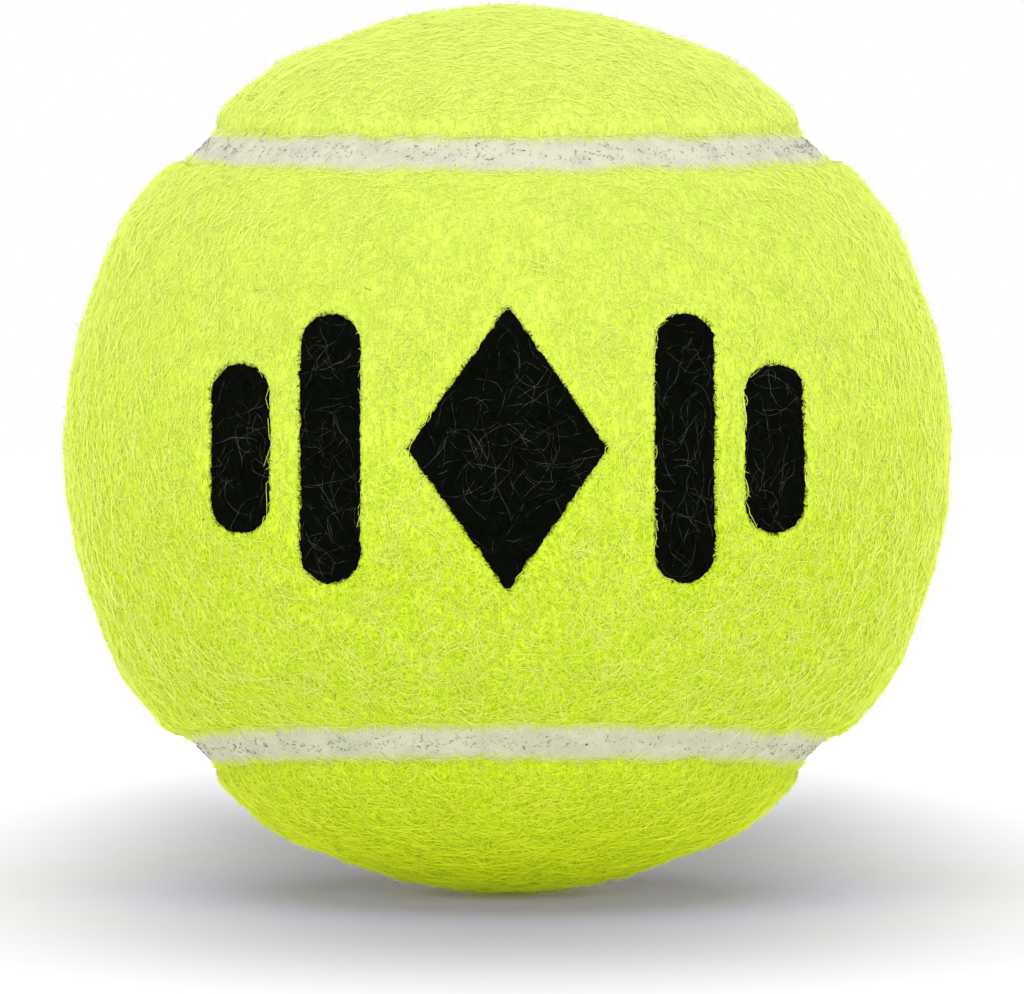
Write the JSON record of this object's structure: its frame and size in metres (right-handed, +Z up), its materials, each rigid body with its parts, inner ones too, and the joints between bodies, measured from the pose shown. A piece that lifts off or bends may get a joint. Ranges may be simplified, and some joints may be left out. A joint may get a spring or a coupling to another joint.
{
  "type": "tennis ball",
  "caption": "Pressurised tennis ball: hollow rubber core under two interlocking felt panels with a rubber seam, and a plain printed mark on one panel.",
  "frame": {"origin": "centre of the ball", "axes": "+Z is up. The front felt panel is narrowest where it faces -Y, and carries the printed mark there. Its wide ends face +X and -X. The rear panel is narrowest at +Y, with its wide ends at +Z and -Z."},
  "size_m": [0.0666, 0.0666, 0.0666],
  "materials": {
    "core_rubber": "matte moulded rubber",
    "rubber_cement": "dull cured cement",
    "panel_adhesive": "dull cured latex",
    "yellow_felt": "napped optic yellow felt",
    "seam_rubber": "matte moulded rubber",
    "printed_felt": "felt soaked with black ink"
  },
  "bodies": {
    "root": {"core_half_upper": "core_rubber", "core_half_lower": "core_rubber", "core_joint_cement": "rubber_cement", "front_panel_adhesive": "panel_adhesive", "rear_panel_adhesive": "panel_adhesive", "front_felt_panel": "yellow_felt", "rear_felt_panel": "yellow_felt", "seam_cement": "seam_rubber", "printed_mark": "printed_felt"}
  },
  "joints": []
}
